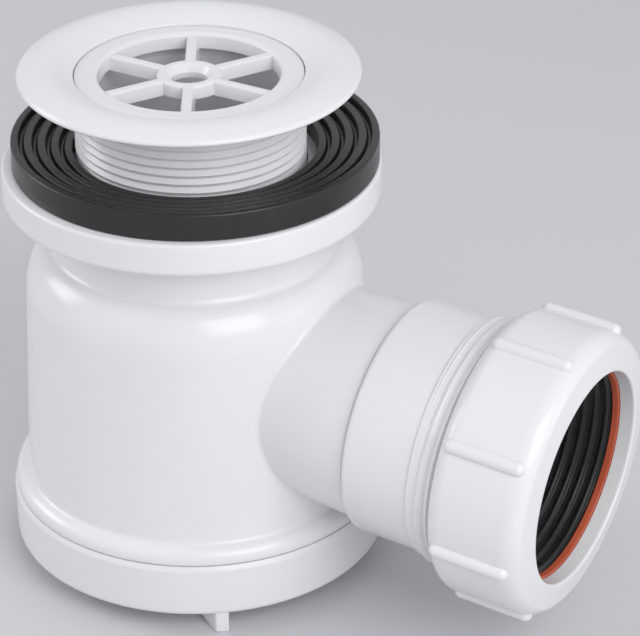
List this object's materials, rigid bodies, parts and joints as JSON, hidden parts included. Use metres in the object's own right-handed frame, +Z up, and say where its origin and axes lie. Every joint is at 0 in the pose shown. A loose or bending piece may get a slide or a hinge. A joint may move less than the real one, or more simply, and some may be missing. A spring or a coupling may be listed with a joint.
{
  "type": "shower trap",
  "caption": "White plastic shower trap with a screw-in strainer waste, black ribbed tray washer, water-seal body and side outlet with a compression nut.",
  "frame": {"origin": "centre of the flat underside of the base, on the vertical trap axis", "axes": "+Z up the trap axis to the waste, +X towards the outlet"},
  "size_m": [0.1334, 0.0804, 0.1128],
  "materials": {
    "white_plastic": "glossy moulded polypropylene",
    "rubber": "satin moulded rubber",
    "orange_plastic": "matt slip washer",
    "foam": "closed-cell seal"
  },
  "bodies": {
    "trap": {"trap_body": "white_plastic", "base_cap": "white_plastic", "outlet_socket": "white_plastic", "outlet_seal": "rubber", "tray_washer": "rubber"},
    "seal_ring": {"flange_seal": "foam"},
    "flange": {"waste_flange": "white_plastic"},
    "strainer": {"strainer_grid": "white_plastic"},
    "dip_tube": {"dip_tube": "white_plastic", "dip_tube_ring": "rubber"},
    "slip_ring": {"slip_washer": "orange_plastic"},
    "nut": {"compression_nut": "white_plastic"}
  },
  "joints": [
    {"name": "flange_travel", "type": "slide", "parent": "trap", "child": "seal_ring", "axis": [0, 0, 1], "range_m": [-0.011, 0.0055]},
    {"name": "flange_turn", "type": "hinge", "parent": "seal_ring", "child": "flange", "pos_m": [0, 0, 0.1054], "axis": [0, 0, 1], "range_deg": [-2140, 1070]},
    {"name": "strainer_lift", "type": "slide", "parent": "flange", "child": "strainer", "axis": [0, 0, 1], "range_m": [0, 0.012]},
    {"name": "dip_tube_lift", "type": "slide", "parent": "trap", "child": "dip_tube", "axis": [0, 0, 1], "range_m": [0, 0.014]},
    {"name": "nut_travel", "type": "slide", "parent": "trap", "child": "slip_ring", "axis": [0.9981, 0, -0.061], "range_m": [0, 0.014]},
    {"name": "nut_turn", "type": "hinge", "parent": "slip_ring", "child": "nut", "pos_m": [0, 0, 0.0425], "axis": [0.9981, 0, -0.061], "range_deg": [0, 2290]}
  ],
  "couplings": [
    {"joint": "flange_travel", "follows": "flange_turn", "m_per_rad": 0.00029444},
    {"joint": "nut_travel", "follows": "nut_turn", "m_per_rad": 0.00035014}
  ]
}
